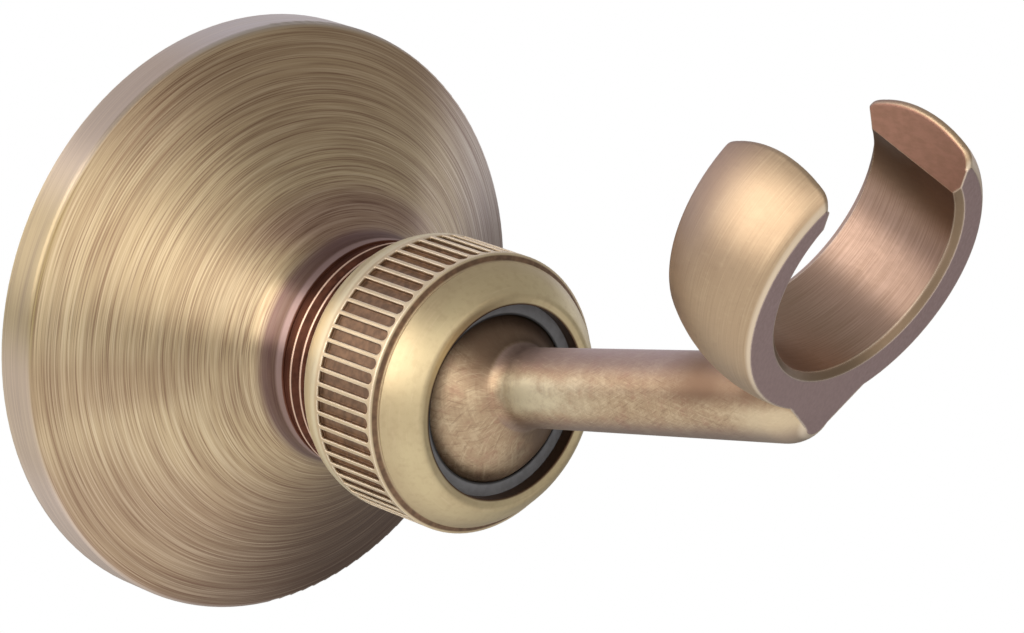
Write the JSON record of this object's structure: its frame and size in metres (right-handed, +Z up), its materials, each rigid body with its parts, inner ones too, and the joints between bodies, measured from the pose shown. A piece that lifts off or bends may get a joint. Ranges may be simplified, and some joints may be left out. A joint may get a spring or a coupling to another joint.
{
  "type": "hand shower holder",
  "caption": "Wall-mounted hand shower holder: a hollow-sided round flange, a ball joint clamped by a fluted collar nut, and a short arm ending in an open ring cradle.",
  "frame": {"origin": "middle of the flange's back, on the wall", "axes": "the wall is the XZ plane, -Y points out of the wall along the flange's axis, +Z is up"},
  "size_m": [0.06, 0.0906, 0.0657],
  "materials": {
    "bronze": "antique brushed",
    "plated_steel": "zinc plated",
    "grey_plastic": "matte",
    "black_rubber": "matte"
  },
  "bodies": {
    "wall_mount": {"wall_plate": "plated_steel", "wall_flange": "bronze", "flange_grub_screw": "plated_steel"},
    "pad": {"rear_pad": "black_rubber"},
    "cup": {"rear_seat": "grey_plastic"},
    "arm": {"cradle_arm": "bronze"},
    "seat": {"front_seat_ring": "grey_plastic"},
    "collar": {"collar_nut": "bronze"}
  },
  "joints": [
    {"name": "arm_spin", "type": "hinge", "parent": "wall_mount", "child": "pad", "pos_m": [0, -0.033, 0], "axis": [0, -1, 0], "continuous": true},
    {"name": "arm_tilt", "type": "hinge", "parent": "pad", "child": "cup", "pos_m": [0, -0.033, 0], "axis": [-0.9707, 0, 0.2403], "range_deg": [-33.9, 10.1]},
    {"name": "arm_roll", "type": "hinge", "parent": "cup", "child": "arm", "pos_m": [0, -0.033, 0], "axis": [0.0496, -0.9785, 0.2002], "continuous": true},
    {"name": "collar_travel", "type": "slide", "parent": "wall_mount", "child": "seat", "axis": [0, -1, 0], "range_m": [0, 0.0015]},
    {"name": "collar_turn", "type": "hinge", "parent": "seat", "child": "collar", "pos_m": [0, -0.033, 0], "axis": [0, -1, 0], "range_deg": [0, 360]}
  ],
  "couplings": [
    {"joint": "collar_turn", "follows": "collar_travel", "rad_per_m": 4188.7}
  ]
}
